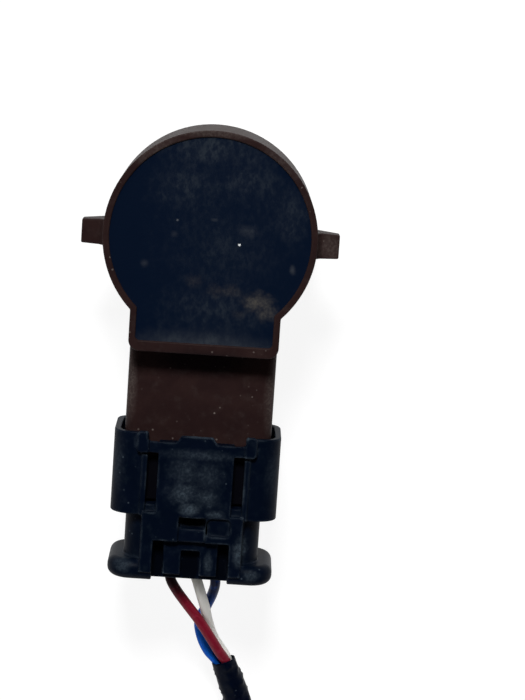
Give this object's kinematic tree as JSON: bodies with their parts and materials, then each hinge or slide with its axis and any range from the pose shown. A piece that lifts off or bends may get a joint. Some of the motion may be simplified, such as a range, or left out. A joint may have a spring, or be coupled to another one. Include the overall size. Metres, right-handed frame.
{
  "type": "parking sensor",
  "caption": "Ultrasonic parking sensor: round potted can with a front sensing membrane, side ears and a connector neck, with its mated plug and a short wire pigtail.",
  "frame": {"origin": "middle of the front of the sensing membrane", "axes": "+Z along the sensing axis from the membrane to the potted back, -Y along the connector neck and the plug, +X to the ear on the right as seen from the back"},
  "size_m": [0.031, 0.1154, 0.0215],
  "materials": {
    "housing_plastic": "moulded dark brown plastic, slightly dusty",
    "potting_resin": "cast blue-black resin with a film of dust",
    "membrane_paint": "body-colour paint on aluminium",
    "decoupling_silicone": "matt silicone",
    "piezo_ceramic": "silvered ceramic",
    "damping_foam": "foam",
    "cup_silicone": "poured silicone",
    "lead_insulation": "thin wire insulation",
    "board_laminate": "solder resist on laminate",
    "chip_epoxy": "moulded epoxy",
    "ferrite": "ground ferrite",
    "capacitor_can": "drawn can",
    "chip_ceramic": "fired ceramic",
    "contact_brass": "tinned brass",
    "plug_plastic": "moulded black plastic, dusty in the corners",
    "retainer_plastic": "moulded",
    "seal_silicone": "oiled silicone",
    "wire_red": "thin-wall wire insulation",
    "wire_white": "thin-wall wire insulation",
    "wire_blue": "thin-wall wire insulation",
    "sleeve_pvc": "soft black sleeving",
    "wire_copper": "bare copper strands"
  },
  "bodies": {
    "root": {"sensor_housing": "housing_plastic", "potting_compound": "potting_resin", "transducer_cup": "membrane_paint", "decoupling_ring": "decoupling_silicone", "piezo_disc": "piezo_ceramic", "absorber_pad": "damping_foam", "cup_filler": "cup_silicone", "piezo_lead_left": "lead_insulation", "piezo_lead_right": "lead_insulation", "circuit_board": "board_laminate", "driver_chip": "chip_epoxy", "pulse_transformer": "ferrite", "storage_capacitor": "capacitor_can", "chip_parts": "chip_ceramic", "contact_pin_left": "contact_brass", "contact_pin_centre": "contact_brass", "contact_pin_right": "contact_brass", "plug_housing": "plug_plastic", "front_retainer": "retainer_plastic", "socket_seal": "seal_silicone", "terminal_red": "contact_brass", "terminal_white": "contact_brass", "terminal_blue": "contact_brass", "wire_seal_red": "seal_silicone", "wire_seal_white": "seal_silicone", "wire_seal_blue": "seal_silicone", "red_wire": "wire_red", "white_wire": "wire_white", "blue_wire": "wire_blue", "harness_sleeve": "sleeve_pvc", "red_wire_tip": "wire_copper", "white_wire_tip": "wire_copper", "blue_wire_tip": "wire_copper"}
  },
  "joints": []
}
